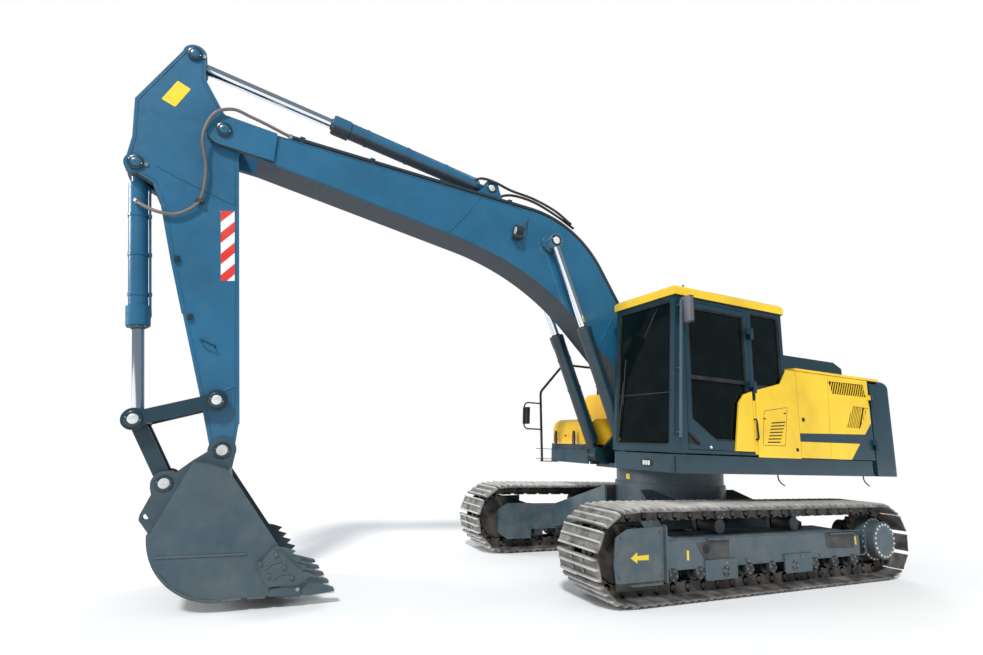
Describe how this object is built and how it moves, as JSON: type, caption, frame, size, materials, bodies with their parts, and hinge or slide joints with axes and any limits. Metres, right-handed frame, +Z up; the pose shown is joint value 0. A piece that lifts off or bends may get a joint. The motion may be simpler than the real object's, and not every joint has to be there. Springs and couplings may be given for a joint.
{
  "type": "crawler excavator",
  "caption": "Crawler excavator with tracked undercarriage, slewing house, glazed cab, bent boom, arm and toothed bucket, for digging and loading.",
  "frame": {"origin": "centre of the overall box on the ground under the shoe lugs", "axes": "+X forward along boom and tracks, +Y to the cab side on the left, +Z up"},
  "size_m": [9.0388, 2.99, 4.868],
  "materials": {
    "black_plastic": "matte",
    "black_steel": "satin",
    "dark_steel": "satin",
    "engine_iron": "matte",
    "rod_chrome": "polished",
    "seat_cloth": "matte",
    "teal_paint": "gloss",
    "tinted_glass": "gloss",
    "tool_paint": "satin",
    "track_steel": "worn",
    "yellow_paint": "gloss"
  },
  "bodies": {
    "undercarriage": {"left_track": "track_steel", "right_track": "track_steel", "left_track_frame": "tool_paint", "right_track_frame": "tool_paint", "idlers": "dark_steel", "sprockets": "dark_steel", "final_drives": "dark_steel", "track_rollers": "dark_steel", "carrier_rollers": "dark_steel", "roller_guards": "tool_paint", "car_body": "tool_paint", "swing_bearing": "dark_steel"},
    "house": {"main_frame": "teal_paint", "counterweight": "teal_paint", "engine": "engine_iron", "left_front_panel": "yellow_paint", "right_front_panel": "yellow_paint", "hood_wings": "yellow_paint", "fuel_tank": "yellow_paint", "tool_box": "yellow_paint", "cab_shell": "teal_paint", "cab_roof": "yellow_paint", "cab_glass": "tinted_glass", "seat": "seat_cloth", "consoles": "black_plastic", "cab_handrail": "black_steel", "right_handrail": "black_steel", "mirrors": "black_plastic"},
    "cab_door": {"cab_door": "teal_paint", "door_glass": "tinted_glass", "door_panel": "yellow_paint"},
    "left_side_door": {"left_side_door": "yellow_paint"},
    "right_side_door": {"right_side_door": "yellow_paint"},
    "engine_hood": {"engine_hood": "teal_paint"},
    "tool_box_lid": {"tool_box_lid": "yellow_paint"},
    "boom": {"boom": "teal_paint", "boom_pipes": "black_steel", "work_lamps": "black_plastic"},
    "lift_barrels": {"lift_barrels": "teal_paint"},
    "lift_rods": {"lift_rods": "rod_chrome"},
    "crowd_barrel": {"crowd_barrel": "teal_paint"},
    "crowd_rod": {"crowd_rod": "rod_chrome"},
    "arm": {"arm": "teal_paint"},
    "curl_barrel": {"curl_barrel": "teal_paint"},
    "curl_rod": {"curl_rod": "rod_chrome"},
    "tilt_levers": {"tilt_levers": "tool_paint"},
    "bucket_link": {"bucket_link": "tool_paint"},
    "bucket": {"bucket": "tool_paint"}
  },
  "joints": [
    {"name": "swing", "type": "hinge", "parent": "undercarriage", "child": "house", "pos_m": [-1.67, 0, 1], "axis": [0, 0, 1], "continuous": true},
    {"name": "boom_lift", "type": "hinge", "parent": "house", "child": "boom", "pos_m": [-1.42, 0, 1.77], "axis": [0, -1, 0], "range_deg": [-65, 38]},
    {"name": "lift_barrel_pivot", "type": "hinge", "parent": "house", "child": "lift_barrels", "pos_m": [-0.77, 0, 1.24], "axis": [0, -1, 0], "range_deg": [-64.98, 38.4]},
    {"name": "lift_rod_slide", "type": "slide", "parent": "lift_barrels", "child": "lift_rods", "axis": [0.3909, 0, 0.9204], "range_m": [-0.8624, 0.5083]},
    {"name": "arm_swing", "type": "hinge", "parent": "boom", "child": "arm", "pos_m": [3.79, 0, 4.05], "axis": [0, 1, 0], "range_deg": [-92, 28]},
    {"name": "crowd_barrel_pivot", "type": "hinge", "parent": "boom", "child": "crowd_barrel", "pos_m": [1, 0, 4.225], "axis": [0, -1, 0], "range_deg": [-1.32, 2.04]},
    {"name": "crowd_rod_slide", "type": "slide", "parent": "crowd_barrel", "child": "crowd_rod", "axis": [0.9853, 0, 0.171], "range_m": [-1.1057, 0.3435]},
    {"name": "bucket_curl", "type": "hinge", "parent": "arm", "child": "bucket", "pos_m": [3.437, 0, 1.18], "axis": [0, 1, 0], "range_deg": [-65, 105]},
    {"name": "tilt_lever_pivot", "type": "hinge", "parent": "arm", "child": "tilt_levers", "pos_m": [3.53, 0, 1.591], "axis": [0, -1, 0], "range_deg": [-74.08, 46.24]},
    {"name": "bucket_link_pivot", "type": "hinge", "parent": "bucket", "child": "bucket_link", "pos_m": [3.822, 0, 0.909], "axis": [0, -1, 0], "range_deg": [-40, 64]},
    {"name": "curl_barrel_pivot", "type": "hinge", "parent": "arm", "child": "curl_barrel", "pos_m": [4.423, 0, 3.582], "axis": [0, -1, 0], "range_deg": [-5.84, 4]},
    {"name": "curl_rod_slide", "type": "slide", "parent": "curl_barrel", "child": "curl_rod", "axis": [-0.1467, 0, -0.9892], "range_m": [-0.4248, 0.68]},
    {"name": "cab_door_hinge", "type": "hinge", "parent": "house", "child": "cab_door", "pos_m": [-1.604, 1.384, 2], "axis": [0, 0, 1], "range_deg": [0, 160]},
    {"name": "left_door_hinge", "type": "hinge", "parent": "house", "child": "left_side_door", "pos_m": [-3.67, 1.384, 1.7], "axis": [0, 0, 1], "range_deg": [0, 115]},
    {"name": "right_door_hinge", "type": "hinge", "parent": "house", "child": "right_side_door", "pos_m": [-3.67, -1.384, 1.7], "axis": [0, 0, -1], "range_deg": [0, 115]},
    {"name": "hood_hinge", "type": "hinge", "parent": "house", "child": "engine_hood", "pos_m": [-3.784, 0, 2.263], "axis": [0, -1, 0], "range_deg": [0, 60]},
    {"name": "tool_box_lid_hinge", "type": "hinge", "parent": "house", "child": "tool_box_lid", "pos_m": [-1.266, -0.884, 1.66], "axis": [0, -1, 0], "range_deg": [0, 90]}
  ],
  "couplings": [
    {"joint": "lift_barrel_pivot", "follows": "boom_lift", "ratio": 0.9843},
    {"joint": "lift_rod_slide", "follows": "boom_lift", "m_per_rad": 0.7514},
    {"joint": "crowd_barrel_pivot", "follows": "arm_swing", "ratio": -0.0113},
    {"joint": "crowd_rod_slide", "follows": "arm_swing", "m_per_rad": 0.6824},
    {"joint": "tilt_lever_pivot", "follows": "bucket_curl", "ratio": -0.696},
    {"joint": "bucket_link_pivot", "follows": "bucket_curl", "ratio": 0.6},
    {"joint": "curl_barrel_pivot", "follows": "bucket_curl", "ratio": -0.0461},
    {"joint": "curl_rod_slide", "follows": "bucket_curl", "m_per_rad": 0.3656}
  ]
}
